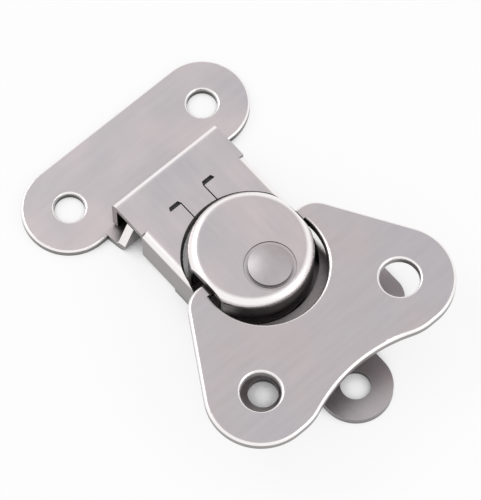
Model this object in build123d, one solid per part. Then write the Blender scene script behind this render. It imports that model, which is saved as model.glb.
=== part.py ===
from build123d import *
import math
import os

os.makedirs("parts", exist_ok=True)

# Rotary draw latch of pressed stainless sheet: a base plate, a butterfly wing riveted to it with an
# eccentric cam cap, a link that runs on the cam, and the keeper that the link hooks behind.
# Millimetres. The pieces are drawn about the rivet axis, +X from the keeper to the rear tab and +Z
# away from the case, and are set down with the origin midway between the ears' screw holes.

# Sheet thicknesses
KEEPER_SHEET = 1.5
BASE_SHEET = 1.5
LINK_SHEET = 1.2
WING_SHEET = 1.6
CAP_SHEET = 1.8

# Clearances
SLIDE_GAP = 0.2
WING_GAP = 0.3
CAM_GAP = 0.8
ISLAND_GAP = 0.2
PIVOT_GAP = 0.05
HOOK_PLAY = 2.1
LIP_GAP = 0.7
FRONT_GAP = 1.3

# Cam and pivot
THROW = 4.5
CAM_R = 10.1
CAM_FLAT = 9.35
SKIRT_WALL = 1.5
SKIRT_OPEN = 3.4
SKIRT_REACH = 0.3
CAP_ROUND = 1.8
RING_R = 4.0
RING_WIDTH = 0.5
RING_DEPTH = 0.15
SHANK_R = 2.0
HEAD_R = 3.55
HEAD_RISE = 1.3
HEAD_EDGE = 0.5
TAIL_R = 3.0
TAIL_FLOOR = 0.4
BUSH_WALL = 1.6

# Link
LINK_WIDTH = 21.6
LINK_DEPTH = 7.8
LINK_REACH = 21.6
WALL_START = 14.2
RING_TAIL_R = 13.5
WALL_STEP_X = 1.5
WALL_STEP_Z = 4.2
TAIL_DROP = 2.5
LINK_BEND = 1.4
LINK_INNER_BEND = 0.3
MOON_R = 1.15
MOON_Y = 3.5
MOON_DEPTH = 0.75
TONGUE_WIDTH = 4.6
TONGUE_SLIT = 0.2

# Keeper
KEEPER_SPACING = 28.6
KEEPER_WIDTH = 15.8
KEEPER_HOLE_R = 2.5
KEEPER_TAB_REACH = 11.7
KEEPER_TAB_ROOT = 25.6
KEEPER_TAB_END = 24.6
STRIKE_HEIGHT = 6.5
STRIKE_TOP = 20.8
STRIKE_BEND = 1.9
STRIKE_INNER_BEND = 0.4

# Wing
LOBE_X = 14.4
LOBE_Y = 14.65
LOBE_R = 9.0
FINGER_HOLE_R = 3.25
HORN_X = -0.8
HORN_Y = 10.6
HORN_R = 4.5
WAIST_X = 20.9
WAIST_R = 27.0
WAIST_BLEND = 9.0
SLOT_SHIFT = 3.1
SLOT_R = 10.2
NECK_WIDTH = 2.1
NECK_GROOVE = 0.9
NECK_LAND = 0.8

# Base
BASE_FRONT_WIDTH = 21.2
BASE_FLARE_X = 0.0
EAR_FRONT_X = 6.5
EAR_REAR_X = 16.0
EAR_WIDTH = 34.2
EAR_HOLE_X = 12.0
EAR_HOLE_SPACING = 24.0
EAR_HOLE_R = 2.5
EAR_ROUND = 4.0
TAB_X = 20.7
TAB_R = 6.05
TAB_HOLE_R = 2.5
BOSS_RISE = 1.8
BOSS_R = 4.7
BOSS_EDGE = 0.6
RECESS_R = 3.3

# Rolled and coined edges
PLATE_EDGE = 0.45
WING_EDGE = 0.6
HOLE_EDGE = 0.5
COLLAR_EDGE = 0.6
RING_EDGE = 0.4

# Heights worked out from the sheets and gaps
WALL_BOTTOM = BASE_SHEET + SLIDE_GAP
LINK_TOP = WALL_BOTTOM + LINK_DEPTH
LINK_UNDER = LINK_TOP - LINK_SHEET
WING_BOTTOM = LINK_TOP + WING_GAP
WING_TOP = WING_BOTTOM + WING_SHEET
CAP_TOP = WING_TOP + CAP_SHEET
TAIL_TOP = LINK_TOP - TAIL_DROP
SKIRT_BOTTOM = TAIL_TOP - LINK_SHEET - SKIRT_REACH
NOTCH_Z = SKIRT_BOTTOM - SLIDE_GAP
BOSS_TOP = BASE_SHEET + BOSS_RISE
LIP_BOTTOM = KEEPER_SHEET + LIP_GAP

# Places worked out along the latch
CAM_X = -THROW
LINK_FRONT = CAM_X - LINK_REACH
WALL_FRONT = CAM_X - WALL_START
LINK_TAIL = CAM_X + RING_TAIL_R
STRIKE_REAR = LINK_FRONT + LINK_SHEET + HOOK_PLAY + KEEPER_SHEET
KEEPER_X = STRIKE_REAR - KEEPER_TAB_REACH
BASE_FRONT = STRIKE_REAR + 2 * THROW + FRONT_GAP
SLOT_X = CAM_X + SLOT_SHIFT
ISLAND_R = CAM_R - SKIRT_WALL - ISLAND_GAP
NECK_FRONT = HORN_X - HORN_R
LINK_HALF = LINK_WIDTH / 2
BORE_R = SHANK_R + PIVOT_GAP


def flare(x, radius, top, rise):
    """Cone that breaks the top edge of a round opening at 45 degrees."""
    return Pos(x, 0, top - rise / 2) * Cone(radius, radius + rise, rise)


def closed_face(points):
    """Flat face inside a closed run of straight lines."""
    return make_face(Polyline(points, close=True))


def mirrored(points):
    """Closed outline symmetric about its first axis, from its upper half listed in order."""
    return points + [(along, -across) for along, across in reversed(points)]


def plate(face, bottom, thickness):
    """Flat sheet of an outline, from its underside height up."""
    return extrude(Pos(0, 0, bottom) * face, amount=thickness)


def block(x_range, y_range, z_range):
    """Plain block between three pairs of limits."""
    spans = (x_range, y_range, z_range)
    size = [high - low for low, high in spans]
    middle = [(high + low) / 2 for low, high in spans]
    return Pos(*middle) * Box(*size)


def drum(x, y, radius, bottom, top):
    """Upright cylinder between two heights."""
    return Pos(x, y, (bottom + top) / 2) * Cylinder(radius, top - bottom)


def edges_at(part, height):
    """Every edge that lies flat at one height."""
    return part.edges().filter_by_position(Axis.Z, height - 1e-3, height + 1e-3)


def rim(part, height, x, y, radius):
    """The round edges at one height that share a centre and a radius."""
    def on_rim(edge):
        if edge.geom_type != GeomType.CIRCLE or abs(edge.radius - radius) > 1e-3:
            return False
        centre = edge.arc_center
        return math.hypot(centre.X - x, centre.Y - y) < 1e-3
    return edges_at(part, height).filter_by(on_rim)


def round_corner(face, x, y, radius):
    """Round the corner of a flat face that lies nearest to a point."""
    nearest = face.vertices().sort_by_distance(Vector(x, y, 0))[:1]
    return fillet(nearest, radius)


def keeper_strike():
    """The tab that runs under the link and turns up behind its lip."""
    inner_x = STRIKE_REAR - KEEPER_SHEET
    bend = closed_face([
        (KEEPER_X, 0), (STRIKE_REAR, 0), (STRIKE_REAR, STRIKE_HEIGHT),
        (inner_x, STRIKE_HEIGHT), (inner_x, KEEPER_SHEET), (KEEPER_X, KEEPER_SHEET),
    ])
    bend = round_corner(bend, STRIKE_REAR, 0, STRIKE_BEND)
    bend = round_corner(bend, inner_x, KEEPER_SHEET, STRIKE_INNER_BEND)
    folded = extrude(Plane.XZ * bend, amount=KEEPER_SPACING / 2, both=True)
    taper = closed_face(mirrored([
        (KEEPER_X, KEEPER_TAB_ROOT / 2), (KEEPER_X + KEEPER_WIDTH / 2, KEEPER_TAB_ROOT / 2),
        (STRIKE_REAR, KEEPER_TAB_END / 2),
    ]))
    folded &= plate(taper, 0, STRIKE_HEIGHT)
    upright = Plane(origin=(KEEPER_X, 0, 0), x_dir=(0, 0, 1), z_dir=(1, 0, 0))
    face_on = closed_face(mirrored([
        (0, KEEPER_TAB_ROOT / 2), (KEEPER_SHEET, KEEPER_TAB_ROOT / 2),
        (STRIKE_HEIGHT, STRIKE_TOP / 2),
    ]))
    return folded & extrude(upright * face_on, amount=STRIKE_REAR - KEEPER_X)


def keeper():
    """Oblong screw plate with a central tab whose end turns up as the strike."""
    oblong = Pos(KEEPER_X, 0) * Rot(0, 0, 90) * SlotCenterToCenter(KEEPER_SPACING, KEEPER_WIDTH)
    body = plate(oblong, 0, KEEPER_SHEET)
    body = fillet(edges_at(body, KEEPER_SHEET), PLATE_EDGE)
    body += keeper_strike()
    for side in (-1, 1):
        y = side * KEEPER_SPACING / 2
        body -= drum(KEEPER_X, y, KEEPER_HOLE_R, 0, KEEPER_SHEET)
        body = fillet(rim(body, KEEPER_SHEET, KEEPER_X, y, KEEPER_HOLE_R), HOLE_EDGE)
    return body


def hook_lip():
    """Front of the link: a flat strip whose leading edge turns down as the hook lip."""
    inner_x = LINK_FRONT + LINK_SHEET
    bend = closed_face([
        (LINK_FRONT, LIP_BOTTOM), (LINK_FRONT, LINK_TOP), (WALL_FRONT, LINK_TOP),
        (WALL_FRONT, LINK_UNDER), (inner_x, LINK_UNDER), (inner_x, LIP_BOTTOM),
    ])
    bend = round_corner(bend, LINK_FRONT, LINK_TOP, LINK_BEND)
    bend = round_corner(bend, inner_x, LINK_UNDER, LINK_INNER_BEND)
    return extrude(Plane.XZ * bend, amount=LINK_HALF, both=True)


def trough(length, top):
    """Stretch of inverted channel, from the bottom of its walls to the top of its web."""
    under = top - LINK_SHEET
    inner_half = LINK_HALF - LINK_SHEET
    body = block(length, (-LINK_HALF, LINK_HALF), (WALL_BOTTOM, top))
    body = fillet(edges_at(body, top).filter_by(Axis.X), LINK_BEND)
    hollow = block(length, (-inner_half, inner_half), (WALL_BOTTOM, under))
    return body - fillet(edges_at(hollow, under).filter_by(Axis.X), LINK_INNER_BEND)


def channel():
    """Rear of the link: a channel set down behind the cam and cut round at its tail."""
    body = trough((WALL_FRONT, CAM_X), LINK_TOP) + trough((CAM_X, LINK_TAIL), TAIL_TOP)
    body -= block((WALL_STEP_X, LINK_TAIL), (-LINK_WIDTH, LINK_WIDTH), (WALL_BOTTOM, WALL_STEP_Z))
    front = Pos((WALL_FRONT + CAM_X) / 2, 0) * Rectangle(CAM_X - WALL_FRONT, 2 * LINK_WIDTH)
    plan = front + Pos(CAM_X, 0) * Circle(RING_TAIL_R)
    return body & plate(plan, WALL_BOTTOM, LINK_TOP - WALL_BOTTOM)


def half_moon(side):
    """Half-moon piercing beside the tongue, its straight edge towards the cam."""
    moon = Pos(WALL_FRONT, side * MOON_Y) * Circle(MOON_R)
    keep = Pos(WALL_FRONT - MOON_DEPTH / 2, side * MOON_Y) * Rectangle(MOON_DEPTH, 2 * MOON_R)
    return plate(moon & keep, LINK_UNDER, LINK_SHEET)


def tongue_slit(side):
    """Shear cut along one side of the tongue, from the half-moon line into the cam opening."""
    y = side * (TONGUE_WIDTH + TONGUE_SLIT) / 2
    across = (y - TONGUE_SLIT / 2, y + TONGUE_SLIT / 2)
    return block((WALL_FRONT - TONGUE_SLIT, CAM_X), across, (LINK_UNDER, LINK_TOP))


def link():
    """Hooked link with a round cam opening and a spring tongue in front of it."""
    opening_r = CAM_R + CAM_GAP
    body = hook_lip() + channel()
    body -= drum(CAM_X, 0, opening_r, NOTCH_Z, LINK_TOP)
    body -= flare(CAM_X, opening_r, LINK_TOP, RING_EDGE)
    for side in (-1, 1):
        body -= half_moon(side)
        body -= tongue_slit(side)
    return body


def wing_outline():
    """Plan of the wing's outer contour: two lobes, two horns and the hollow waist behind."""
    rounds = []
    for side in (-1, 1):
        rounds += (Pos(LOBE_X, side * LOBE_Y) * Circle(LOBE_R)).edges()
        rounds += (Pos(HORN_X, side * HORN_Y) * Circle(HORN_R)).edges()
    waist_x = WAIST_X + WAIST_R
    plan = make_hull(rounds) - Pos(waist_x, 0) * Circle(WAIST_R)
    corners = [v for v in plan.vertices() if abs(math.hypot(v.X - waist_x, v.Y) - WAIST_R) < 1e-3]
    return fillet(corners, WAIST_BLEND)


def crescent():
    """Slot behind the island that the cap's rear skirt passes down through."""
    slot_front = NECK_FRONT + NECK_WIDTH
    behind_neck = Pos(slot_front + SLOT_R, 0) * Rectangle(2 * SLOT_R, 2 * SLOT_R)
    around = Pos(SLOT_X, 0) * Circle(SLOT_R) - Pos(CAM_X, 0) * Circle(ISLAND_R)
    return around & behind_neck


def wing():
    """Butterfly plate: two finger lobes, two horns and the island that carries the cam cap."""
    body = plate(wing_outline(), WING_BOTTOM, WING_SHEET)
    body = fillet(edges_at(body, WING_TOP), WING_EDGE)
    body += drum(CAM_X, 0, ISLAND_R, WING_BOTTOM, WING_TOP)
    body -= plate(crescent(), WING_BOTTOM, WING_SHEET)
    inner_y = CAM_FLAT - NECK_GROOVE / 3
    for side in (-1, 1):
        across = sorted((side * inner_y, side * (inner_y + NECK_GROOVE)))
        body -= block((NECK_FRONT - NECK_WIDTH, NECK_FRONT + 2 * NECK_WIDTH), across,
                      (WING_BOTTOM + NECK_LAND, WING_TOP))
    body = fillet(rim(body, WING_TOP, SLOT_X, 0, SLOT_R), COLLAR_EDGE)
    for side in (-1, 1):
        y = side * LOBE_Y
        body -= drum(LOBE_X, y, FINGER_HOLE_R, WING_BOTTOM, WING_TOP)
        body = fillet(rim(body, WING_TOP, LOBE_X, y, FINGER_HOLE_R), HOLE_EDGE)
    return body - drum(0, 0, BORE_R, WING_BOTTOM, WING_TOP)


def cam_cap():
    """Drawn cap with two sheared flats and two arc skirts that run in the link's opening."""
    depth = CAP_TOP - SKIRT_BOTTOM
    body = drum(CAM_X, 0, CAM_R, SKIRT_BOTTOM, CAP_TOP)
    body = fillet(edges_at(body, CAP_TOP), CAP_ROUND)
    body &= plate(Pos(CAM_X, 0) * Rectangle(2 * CAM_R, 2 * CAM_FLAT), SKIRT_BOTTOM, depth)
    body -= drum(CAM_X, 0, CAM_R - SKIRT_WALL, SKIRT_BOTTOM, WING_TOP)
    body -= block((CAM_X - SKIRT_OPEN, CAM_X + SKIRT_OPEN), (-CAM_R, CAM_R), (SKIRT_BOTTOM, WING_TOP))
    body -= drum(0, 0, BORE_R, WING_TOP, CAP_TOP)
    ring = drum(0, 0, RING_R + RING_WIDTH / 2, CAP_TOP - RING_DEPTH, CAP_TOP)
    return body - (ring - drum(0, 0, RING_R - RING_WIDTH / 2, CAP_TOP - RING_DEPTH, CAP_TOP))


def pivot_rivet():
    """Domed rivet on the turning axis, its tail spread in the recess under the boss."""
    tail_top = BOSS_RISE - PIVOT_GAP
    head_edge = CAP_TOP + HEAD_EDGE
    head_top = CAP_TOP + HEAD_RISE
    sag = HEAD_RISE - HEAD_EDGE
    dome_r = (HEAD_R**2 + sag**2) / (2 * sag)
    half_turn = math.asin(HEAD_R / dome_r) / 2
    shoulder = (dome_r * math.sin(half_turn), head_top - dome_r * (1 - math.cos(half_turn)))
    straight = Polyline([
        (0, head_top), (0, TAIL_FLOOR), (TAIL_R, TAIL_FLOOR), (TAIL_R, tail_top),
        (SHANK_R, tail_top), (SHANK_R, CAP_TOP), (HEAD_R, CAP_TOP), (HEAD_R, head_edge),
    ])
    dome = ThreePointArc((HEAD_R, head_edge), shoulder, (0, head_top))
    return revolve(Plane.XZ * make_face(straight + dome), Axis.Z)


def pivot_bush():
    """Spacer on the rivet that carries the wing at its height above the boss."""
    bottom = BOSS_TOP + PIVOT_GAP
    outer = drum(0, 0, SHANK_R + BUSH_WALL, bottom, WING_BOTTOM)
    return outer - drum(0, 0, BORE_R, bottom, WING_BOTTOM)


def base_outline():
    """Plan of the base: narrow under the link, flared into two ears, with a round rear tab."""
    front = BASE_FRONT_WIDTH / 2
    ear = EAR_WIDTH / 2
    plan = closed_face(mirrored([
        (BASE_FRONT, front), (BASE_FLARE_X, front), (EAR_FRONT_X, ear), (EAR_REAR_X, ear),
    ]))
    for side in (-1, 1):
        plan = round_corner(plan, EAR_FRONT_X, side * ear, EAR_ROUND)
        plan = round_corner(plan, EAR_REAR_X, side * ear, EAR_ROUND)
    plan += Pos((EAR_REAR_X + TAB_X) / 2, 0) * Rectangle(TAB_X - EAR_REAR_X, 2 * TAB_R)
    return plan + Pos(TAB_X, 0) * Circle(TAB_R)


def base_plate():
    """Pressed base with two screw ears, a rear tab and a drawn boss for the pivot."""
    body = plate(base_outline(), 0, BASE_SHEET)
    boss = drum(0, 0, BOSS_R, 0, BOSS_TOP)
    body += fillet(edges_at(boss, BOSS_TOP), BOSS_EDGE)
    body -= drum(0, 0, RECESS_R, 0, BOSS_RISE)
    body -= drum(0, 0, BORE_R, BOSS_RISE, BOSS_TOP)
    body -= drum(TAB_X, 0, TAB_HOLE_R, 0, BASE_SHEET)
    for side in (-1, 1):
        body -= drum(EAR_HOLE_X, side * EAR_HOLE_SPACING / 2, EAR_HOLE_R, 0, BASE_SHEET)
    return body


def main():
    """Write each piece to its own file, set down about the origin."""
    datum = Pos(-EAR_HOLE_X, 0, 0)
    for make in (base_plate, link, keeper, wing, cam_cap, pivot_rivet, pivot_bush):
        export_step(datum * make(), f"parts/{make.__name__}.step")


if __name__ == "__main__":
    main()
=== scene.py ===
"""Finish and stage of a butterfly case latch, laid out as an add-on."""

import math

import bpy
from bpy.props import FloatProperty, FloatVectorProperty, PointerProperty
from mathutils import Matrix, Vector


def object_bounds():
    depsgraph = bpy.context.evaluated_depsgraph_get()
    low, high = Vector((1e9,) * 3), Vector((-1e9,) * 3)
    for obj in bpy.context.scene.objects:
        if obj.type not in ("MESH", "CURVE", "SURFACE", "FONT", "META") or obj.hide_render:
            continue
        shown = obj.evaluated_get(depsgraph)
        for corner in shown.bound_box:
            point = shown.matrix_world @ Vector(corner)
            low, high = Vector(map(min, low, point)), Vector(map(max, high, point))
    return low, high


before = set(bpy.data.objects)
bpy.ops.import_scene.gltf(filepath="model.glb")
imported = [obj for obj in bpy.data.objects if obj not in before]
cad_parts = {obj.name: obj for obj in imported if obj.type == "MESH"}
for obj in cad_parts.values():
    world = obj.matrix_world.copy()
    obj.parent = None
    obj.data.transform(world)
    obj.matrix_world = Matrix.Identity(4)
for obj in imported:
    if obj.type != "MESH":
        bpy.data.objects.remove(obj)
CAD_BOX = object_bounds()

bl_info = {
    "name": "Butterfly Case Latch",
    "version": (1, 0, 0),
    "blender": (4, 5, 0),
    "location": "View3D > Sidebar > Latch",
    "description": "Satin steel finish and studio stage for a butterfly case latch",
    "category": "Object",
}


# The camera looks down on the latch from beyond its rear tab; azimuth turns from -Y to +X
VIEW_AZIMUTH = math.radians(48.7)
VIEW_ELEVATION = math.radians(66.5)
SENSOR_MM = 36.0
LENS_MM = 250.0
CLIP_NEAR = 0.05
CLIP_FAR = 40.0

# Shades of the pieces' flat faces, as shares of the sheet colour
CAP_SHADE = 1.09
DOME_SHADE = 0.84
# Painted shade on the rounded edge of the rivet's dome, as a share of the sheet colour
DOME_RIM_PAINTED_SHADE = 0.60
LINK_SHADE = 1.13
KEEPER_SHADE = 1.14
BASE_SHADE = 0.98

# Stretch of the rolling lines in X, Y and Z
ROLLED_ALONG_X = (0.12, 1.0, 1.0)
ROLLED_ALONG_Y = (1.0, 0.12, 1.0)
NOT_ROLLED = (1.0, 1.0, 1.0)
TURNED_ABOUT_Z = (1.0, 1.0, 0.2)

# Noise values at which the cool clouds and the worn lines begin and are full
CLOUD_EDGES = (0.35, 0.68)
WORN_EDGES = (0.30, 0.70)
WORN_SHADE = 0.93

# Upward part of the normal on an upright side, which gets painted shade, on a rolled rim, which
# gets a painted highlight (painted shade on the rivet's dome), and where a flat face begins
SIDE_SHADE_EDGES = (0.10, 0.35)
RIM_EDGES = (0.12, 0.42)
SHEET_RIM_END = 0.90
DOME_RIM_END = 0.60
RIM_FADE = 0.085

# Roughness: spread over the grain, gain on the rims and on the rivet's tumbled dome
GRAIN_SPREAD = 0.10
RIM_POLISH = 0.08
DOME_EXTRA_ROUGHNESS = 0.16
GRAIN_STRENGTH = 0.2

# Openness at which a recess is fully dark with painted shade and at which it has its own colour;
# the floor's stops and reach set the painted shade on the floor around the latch
RECESS_EDGES = (0.30, 0.70)
RECESS_PAINTED_SHADE = 0.12
FLOOR_RECESS_EDGES = (0.22, 0.55)
FLOOR_RECESS_REACH = 0.012
OPENNESS_SAMPLES = 8

# Share of plain white in the floor, the rest of which takes the latch's shadow
FLOOR_WHITE = 0.84

# Heights on the studio dome, as the upward part of a ray, and the shade at its foot
WALL_HEIGHT = 0.25
SKY_HEIGHT = 0.75
FOOT_SHADE = 0.7

# Soft boxes: angles in degrees, distance and side in metres
KEY_BOX = {"azimuth": 200, "elevation": 42, "distance": 0.55, "side": 0.30}
FILL_BOX = {"azimuth": 20, "elevation": 30, "distance": 0.60, "side": 0.30}


class LatchSteelSettings(bpy.types.PropertyGroup):
    """Colours and grain of the pressed stainless sheet, with its painted rim highlight and painted
    shades.
    """

    sheet_color: FloatVectorProperty(
        name="Sheet", description="Colour of the flat satin faces", subtype="COLOR", size=3,
        min=0.0, max=1.0, default=(0.525, 0.470, 0.477))
    cool_color: FloatVectorProperty(
        name="Cool Patches", description="Colour of the cooler clouds in the finish",
        subtype="COLOR", size=3, min=0.0, max=1.0, default=(0.490, 0.468, 0.487))
    # Painted highlight: near-white colour on the rolled rims of the sheet, in place of their bright
    # reflection
    rim_color: FloatVectorProperty(
        name="Rolled Rim", description="Colour of the burnished, rolled edges", subtype="COLOR",
        size=3, min=0.0, max=1.0, default=(0.94, 0.90, 0.90))
    # Painted shade on every upright face, with the duller tone of the sheared sides
    shear_and_side_shade_color: FloatVectorProperty(
        name="Sheared Edge", description="Colour of the cut sides of the sheet", subtype="COLOR",
        size=3, min=0.0, max=1.0, default=(0.30, 0.28, 0.28))
    # Painted shade: dark colour of the hidden bush and the base of the painted recess shade
    inner_painted_shade_color: FloatVectorProperty(
        name="Inner Steel", description="Colour of the shaded pieces inside the latch",
        subtype="COLOR", size=3, min=0.0, max=1.0, default=(0.30, 0.275, 0.275))
    roughness: FloatProperty(
        name="Roughness", description="Mean roughness of the satin faces", min=0.05, max=1.0,
        default=0.36)
    cloud_size: FloatProperty(
        name="Cloud Size", description="Width of one cloud in the finish", subtype="DISTANCE",
        unit="LENGTH", min=0.001, default=0.014)
    grain_size: FloatProperty(
        name="Grain Size", description="Width of one grain of the satin", subtype="DISTANCE",
        unit="LENGTH", min=0.00005, default=0.00035)
    grain_depth: FloatProperty(
        name="Grain Depth", description="Depth of the satin grain", subtype="DISTANCE",
        unit="LENGTH", min=0.0, default=0.000012)
    # Reach of the painted shade that darkens the steel near walls
    painted_shade_reach: FloatProperty(
        name="Recess Reach", description="How near a wall must stand to darken the steel beside it",
        subtype="DISTANCE", unit="LENGTH", min=0.0005, default=0.006)
    scratch_size: FloatProperty(
        name="Scratch Spacing", description="Spacing of the fine handling scratches",
        subtype="DISTANCE", unit="LENGTH", min=0.0001, default=0.0011)


class LatchStageSettings(bpy.types.PropertyGroup):
    """Floor, light and framing of the studio."""

    floor_color: FloatVectorProperty(
        name="Floor", description="Colour of the floor", subtype="COLOR", size=3, min=0.0,
        max=1.0, default=(0.93, 0.93, 0.93))
    floor_size: FloatProperty(
        name="Floor Size", description="Side of the square floor", subtype="DISTANCE",
        unit="LENGTH", min=0.5, default=6.0)
    frame_height: FloatProperty(
        name="Frame Height", description="Height of the view at the latch", subtype="DISTANCE",
        unit="LENGTH", min=0.05, default=0.080)
    sky_level: FloatProperty(
        name="Sky Level", description="Brightness of the studio dome overhead", min=0.0,
        default=0.80)
    horizon_level: FloatProperty(
        name="Horizon Level", description="Brightness of the studio walls", min=0.0, default=0.56)
    key_level: FloatProperty(
        name="Key Level", description="Brightness of the main soft box", min=0.0, default=2.6)
    fill_level: FloatProperty(
        name="Fill Level", description="Brightness of the second soft box", min=0.0, default=2.0)


class Nodes:
    """Short way to add and link shader nodes in one tree."""

    def __init__(self, tree):
        self.tree = tree
        tree.nodes.clear()

    def add(self, kind, **settings):
        node = self.tree.nodes.new(kind)
        for name, value in settings.items():
            setattr(node, name, value)
        return node

    def link(self, source, target):
        self.tree.links.new(source, target)

    def ramp(self, source, stops):
        """Colour ramp through (position, grey or colour) stops."""
        node = self.add("ShaderNodeValToRGB")
        elements = node.color_ramp.elements
        while len(elements) < len(stops):
            elements.new(0.5)
        for element, (position, value) in zip(elements, stops):
            element.position = position
            grey = isinstance(value, float)
            element.color = (value, value, value, 1.0) if grey else (*value, 1.0)
        self.link(source, node.inputs["Fac"])
        return node.outputs["Color"]

    def mix(self, factor, first, second):
        """Colour mix of two colours or sockets."""
        node = self.add("ShaderNodeMix", data_type="RGBA")
        self.link(factor, node.inputs["Factor"])
        for socket, value in ((node.inputs[6], first), (node.inputs[7], second)):
            if isinstance(value, bpy.types.NodeSocket):
                self.link(value, socket)
            else:
                socket.default_value = (*value, 1.0)
        return node.outputs[2]

    def openness(self, reach, edges):
        """How open to the room a point is, from 0 to 1 between two shares of the sky."""
        node = self.add("ShaderNodeAmbientOcclusion", samples=OPENNESS_SAMPLES)
        node.inputs["Distance"].default_value = reach
        closed, opened = edges
        return self.ramp(node.outputs["AO"], [(closed, 0.0), (opened, 1.0)])

    def noise(self, vector, size, detail):
        """Noise whose features are about one size wide."""
        node = self.add("ShaderNodeTexNoise")
        node.inputs["Scale"].default_value = 1.0 / size
        node.inputs["Detail"].default_value = detail
        self.link(vector, node.inputs["Vector"])
        return node.outputs["Fac"]

    def math(self, operation, *values):
        """One arithmetic step on sockets or numbers."""
        node = self.add("ShaderNodeMath", operation=operation)
        for socket, value in zip(node.inputs, values):
            if isinstance(value, bpy.types.NodeSocket):
                self.link(value, socket)
            else:
                socket.default_value = value
        return node.outputs[0]


def satin_steel(name, steel, face, stretch, rim_color=None, rim_end=SHEET_RIM_END,
                extra_roughness=0.0):
    """Pressed stainless steel: cloudy satin faces, painted rim colour, painted shade on upright
    sides (with the sheared sides' duller tone) and in recesses.

    stretch draws out the rolling lines in X, Y and Z. Faces tilted up to rim_end, the upward
    part of their normal, count as rim."""
    rim_color = rim_color or steel.rim_color
    material = bpy.data.materials.new(name)
    material.use_nodes = True
    nodes = Nodes(material.node_tree)
    place = nodes.add("ShaderNodeTexCoord").outputs["Object"]
    normal = nodes.add("ShaderNodeNewGeometry").outputs["Normal"]
    split = nodes.add("ShaderNodeSeparateXYZ")
    nodes.link(normal, split.inputs[0])
    upward = nodes.math("ABSOLUTE", split.outputs["Z"])

    cloud = nodes.noise(place, steel.cloud_size, 3.0)
    patches = nodes.ramp(cloud, [(CLOUD_EDGES[0], 0.0), (CLOUD_EDGES[1], 1.0)])
    satin = nodes.mix(patches, face, steel.cool_color)

    drawn_out = nodes.add("ShaderNodeMapping")
    drawn_out.inputs["Scale"].default_value = stretch
    nodes.link(place, drawn_out.inputs["Vector"])
    lines = nodes.noise(drawn_out.outputs["Vector"], steel.scratch_size, 5.0)
    worn = nodes.ramp(lines, [(WORN_EDGES[0], WORN_SHADE), (WORN_EDGES[1], 1.0)])
    tinted = nodes.add("ShaderNodeMix", data_type="RGBA", blend_type="MULTIPLY")
    tinted.inputs["Factor"].default_value = 1.0
    nodes.link(satin, tinted.inputs[6])
    nodes.link(worn, tinted.inputs[7])

    # Rims take a painted colour: a painted highlight on sheet rims, painted shade on the rivet
    # dome's edge; the same mask also lowers roughness
    rim = nodes.ramp(upward, [(RIM_EDGES[0], 0.0), (RIM_EDGES[1], 1.0),
                              (rim_end, 1.0), (rim_end + RIM_FADE, 0.0)])
    # Every upright face, sheared or bent, takes the darker side colour: painted shade, with the
    # sheared sides' duller tone
    cut = nodes.ramp(upward, [(SIDE_SHADE_EDGES[0], 1.0), (SIDE_SHADE_EDGES[1], 0.0)])
    # Painted rim colour mixed over the satin
    rolled = nodes.mix(rim, tinted.outputs[2], rim_color)
    with_side_shade = nodes.mix(cut, rolled, steel.shear_and_side_shade_color)
    # Painted shade: the colour darkens where walls close a point in
    openness_for_painted_shade = nodes.openness(steel.painted_shade_reach, RECESS_EDGES)
    colour = nodes.mix(openness_for_painted_shade, Vector(steel.inner_painted_shade_color) * RECESS_PAINTED_SHADE, with_side_shade)

    grain = nodes.noise(place, steel.grain_size, 2.0)
    smoothest = steel.roughness + extra_roughness - GRAIN_SPREAD / 2
    spread = nodes.math("MULTIPLY_ADD", grain, GRAIN_SPREAD, smoothest)
    polish = nodes.math("MULTIPLY", rim, RIM_POLISH)
    roughness = nodes.math("SUBTRACT", spread, polish)

    relief = nodes.math("ADD", grain, lines)
    bump = nodes.add("ShaderNodeBump")
    bump.inputs["Strength"].default_value = GRAIN_STRENGTH
    bump.inputs["Distance"].default_value = steel.grain_depth
    nodes.link(relief, bump.inputs["Height"])

    shader = nodes.add("ShaderNodeBsdfPrincipled")
    shader.inputs["Metallic"].default_value = 1.0
    nodes.link(colour, shader.inputs["Base Color"])
    nodes.link(roughness, shader.inputs["Roughness"])
    nodes.link(bump.outputs["Normal"], shader.inputs["Normal"])
    output = nodes.add("ShaderNodeOutputMaterial")
    nodes.link(shader.outputs["BSDF"], output.inputs["Surface"])
    return material


def dress(node, material):
    """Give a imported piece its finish."""
    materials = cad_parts[node].data.materials
    materials.clear()
    materials.append(material)


class LATCH_OT_wing(bpy.types.Operator):
    """Finish the butterfly wing"""

    bl_idname = "latch.wing"
    bl_label = "Wing"

    def execute(self, context):
        steel = context.scene.latch_steel
        dress("wing", satin_steel("wing_satin", steel, steel.sheet_color, ROLLED_ALONG_Y))
        return {"FINISHED"}


class LATCH_OT_cam(bpy.types.Operator):
    """Finish the cam cap and the rivet that holds it"""

    bl_idname = "latch.cam"
    bl_label = "Cam Cap and Rivet"

    def execute(self, context):
        steel = context.scene.latch_steel
        sheet = Vector(steel.sheet_color)
        dress("cam_cap", satin_steel("cap_satin", steel, sheet * CAP_SHADE, ROLLED_ALONG_X))
        # The rivet's rim colour is painted shade on its dome's rounded edge
        dress("pivot_rivet", satin_steel("rivet_satin", steel, sheet * DOME_SHADE, NOT_ROLLED,
                                         rim_color=sheet * DOME_RIM_PAINTED_SHADE, rim_end=DOME_RIM_END,
                                         extra_roughness=DOME_EXTRA_ROUGHNESS))
        return {"FINISHED"}


class LATCH_OT_link(bpy.types.Operator):
    """Finish the hooked link"""

    bl_idname = "latch.link"
    bl_label = "Link"

    def execute(self, context):
        steel = context.scene.latch_steel
        face = Vector(steel.sheet_color) * LINK_SHADE
        dress("link", satin_steel("link_satin", steel, face, ROLLED_ALONG_X))
        return {"FINISHED"}


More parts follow.
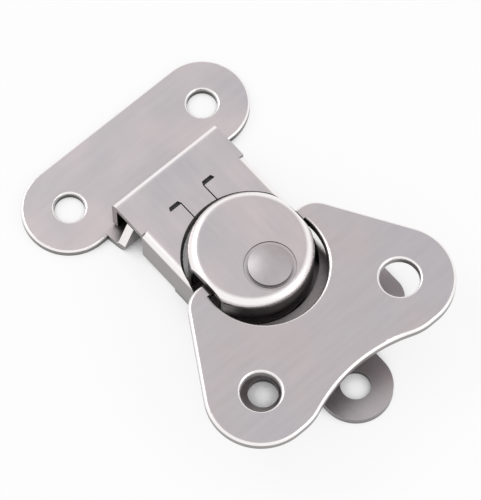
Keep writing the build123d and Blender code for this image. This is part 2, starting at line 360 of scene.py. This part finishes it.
class LATCH_OT_keeper(bpy.types.Operator):
    """Finish the keeper"""

    bl_idname = "latch.keeper"
    bl_label = "Keeper"

    def execute(self, context):
        steel = context.scene.latch_steel
        face = Vector(steel.sheet_color) * KEEPER_SHADE
        dress("keeper", satin_steel("keeper_satin", steel, face, ROLLED_ALONG_Y))
        return {"FINISHED"}


class LATCH_OT_base(bpy.types.Operator):
    """Finish the base plate and the bush on its boss"""

    bl_idname = "latch.base"
    bl_label = "Base Plate and Bush"

    def execute(self, context):
        steel = context.scene.latch_steel
        face = Vector(steel.sheet_color) * BASE_SHADE
        dress("base_plate", satin_steel("base_satin", steel, face, ROLLED_ALONG_X))
        # The bush takes the painted inner shade as its colour
        dress("pivot_bush", satin_steel("bush_steel", steel, steel.inner_painted_shade_color, TURNED_ABOUT_Z))
        return {"FINISHED"}


def backdrop_blend(nodes, lit, white_kind):
    """Mix of a lit shader and plain white, with a socket that is 1 for rays that show it."""
    path = nodes.add("ShaderNodeLightPath")
    through = nodes.math("MAXIMUM", path.outputs["Is Glossy Ray"],
                         path.outputs["Is Transmission Ray"])
    seen = nodes.math("MAXIMUM", path.outputs["Is Camera Ray"], through)
    white = nodes.add(white_kind)
    white.inputs["Color"].default_value = (1.0, 1.0, 1.0, 1.0)
    blend = nodes.add("ShaderNodeMixShader")
    nodes.link(lit, blend.inputs[1])
    nodes.link(white.outputs[0], blend.inputs[2])
    return blend, seen


def make_floor(stage):
    """Pale floor that shows white but keeps the soft shadow of the latch, with painted shade where
    the latch closes it in.
    """
    half = stage.floor_size / 2
    mesh = bpy.data.meshes.new("floor")
    corners = [(-half, -half, 0), (half, -half, 0), (half, half, 0), (-half, half, 0)]
    mesh.from_pydata(corners, [], [(0, 1, 2, 3)])
    floor = bpy.data.objects.new("floor", mesh)
    bpy.context.collection.objects.link(floor)
    material = bpy.data.materials.new("floor_white")
    material.use_nodes = True
    nodes = Nodes(material.node_tree)
    lit = nodes.add("ShaderNodeBsdfDiffuse")
    lit.inputs["Color"].default_value = (*stage.floor_color, 1.0)
    blend, seen = backdrop_blend(nodes, lit.outputs[0], "ShaderNodeEmission")
    # Painted shade: the white share drops where the latch closes the floor in
    openness_for_painted_shade = nodes.openness(FLOOR_RECESS_REACH, FLOOR_RECESS_EDGES)
    white_share = nodes.math("MULTIPLY", nodes.math("MULTIPLY", seen, openness_for_painted_shade), FLOOR_WHITE)
    nodes.link(white_share, blend.inputs[0])
    output = nodes.add("ShaderNodeOutputMaterial")
    nodes.link(blend.outputs[0], output.inputs["Surface"])
    mesh.materials.append(material)


def make_world(stage):
    """Studio dome, darker towards its foot, and plain white where it is seen or mirrored."""
    world = bpy.data.worlds.new("studio")
    world.use_nodes = True
    nodes = Nodes(world.node_tree)
    normal = nodes.add("ShaderNodeTexCoord").outputs["Generated"]
    split = nodes.add("ShaderNodeSeparateXYZ")
    nodes.link(normal, split.inputs[0])
    level = nodes.ramp(split.outputs["Z"], [
        (0.0, stage.horizon_level * FOOT_SHADE), (WALL_HEIGHT, stage.horizon_level),
        (SKY_HEIGHT, stage.sky_level), (1.0, stage.sky_level)])
    dome = nodes.add("ShaderNodeBackground")
    nodes.link(level, dome.inputs["Color"])
    blend, seen = backdrop_blend(nodes, dome.outputs[0], "ShaderNodeBackground")
    nodes.link(seen, blend.inputs[0])
    output = nodes.add("ShaderNodeOutputWorld")
    nodes.link(blend.outputs[0], output.inputs["Surface"])
    bpy.context.scene.world = world


def soft_box(name, target, level, azimuth, elevation, distance, side):
    """Square soft box that faces the latch; level is its brightness, with 1 for white."""
    light = bpy.data.lights.new(name, "AREA")
    light.shape = "SQUARE"
    light.size = side
    light.energy = math.pi * side**2 * level
    box = bpy.data.objects.new(name, light)
    bpy.context.collection.objects.link(box)
    flat = math.cos(math.radians(elevation)) * distance
    turn = math.radians(azimuth)
    offset = Vector((math.cos(turn) * flat, math.sin(turn) * flat,
                     math.sin(math.radians(elevation)) * distance))
    box.location = target + offset
    box.rotation_euler = (-offset).to_track_quat("-Z", "Y").to_euler()


def make_camera(stage, target):
    """Long lens at the photograph's viewing angle."""
    data = bpy.data.cameras.new("camera")
    data.sensor_fit = "VERTICAL"
    data.sensor_height = SENSOR_MM
    data.lens = LENS_MM
    camera = bpy.data.objects.new("camera", data)
    bpy.context.collection.objects.link(camera)
    distance = stage.frame_height * LENS_MM / SENSOR_MM
    data.clip_start = distance * CLIP_NEAR
    data.clip_end = distance * CLIP_FAR
    look = Vector((-math.sin(VIEW_AZIMUTH) * math.cos(VIEW_ELEVATION),
                   math.cos(VIEW_AZIMUTH) * math.cos(VIEW_ELEVATION),
                   -math.sin(VIEW_ELEVATION)))
    camera.location = target - look * distance
    camera.rotation_euler = look.to_track_quat("-Z", "Y").to_euler()
    bpy.context.scene.camera = camera


class LATCH_OT_stage(bpy.types.Operator):
    """Set the floor, the soft light and the camera"""

    bl_idname = "latch.stage"
    bl_label = "Studio Stage"

    def execute(self, context):
        stage = context.scene.latch_stage
        low, high = (Vector(corner) for corner in CAD_BOX)
        target = (low + high) / 2
        make_floor(stage)
        make_world(stage)
        soft_box("key_light", target, stage.key_level, **KEY_BOX)
        soft_box("fill_light", target, stage.fill_level, **FILL_BOX)
        make_camera(stage, target)
        context.scene.view_settings.view_transform = "Standard"
        return {"FINISHED"}


OPERATORS = (LATCH_OT_base, LATCH_OT_keeper, LATCH_OT_link, LATCH_OT_wing, LATCH_OT_cam,
             LATCH_OT_stage)


class LATCH_PT_panel(bpy.types.Panel):
    """Sizes, colours and pieces of the latch"""

    bl_idname = "LATCH_PT_panel"
    bl_label = "Butterfly Case Latch"
    bl_space_type = "VIEW_3D"
    bl_region_type = "UI"
    bl_category = "Latch"

    def draw(self, context):
        layout = self.layout
        for operator in OPERATORS:
            layout.operator(operator.bl_idname)
        for settings in (context.scene.latch_steel, context.scene.latch_stage):
            box = layout.box()
            for name in settings.__annotations__:
                box.prop(settings, name)


CLASSES = (LatchSteelSettings, LatchStageSettings, *OPERATORS, LATCH_PT_panel)


def register():
    for cls in CLASSES:
        bpy.utils.register_class(cls)
    bpy.types.Scene.latch_steel = PointerProperty(type=LatchSteelSettings)
    bpy.types.Scene.latch_stage = PointerProperty(type=LatchStageSettings)


def unregister():
    del bpy.types.Scene.latch_stage
    del bpy.types.Scene.latch_steel
    for cls in reversed(CLASSES):
        bpy.utils.unregister_class(cls)


def main():
    register()
    for operator in OPERATORS:
        group, name = operator.bl_idname.split(".")
        getattr(getattr(bpy.ops, group), name)()


if __name__ == "__main__":
    main()
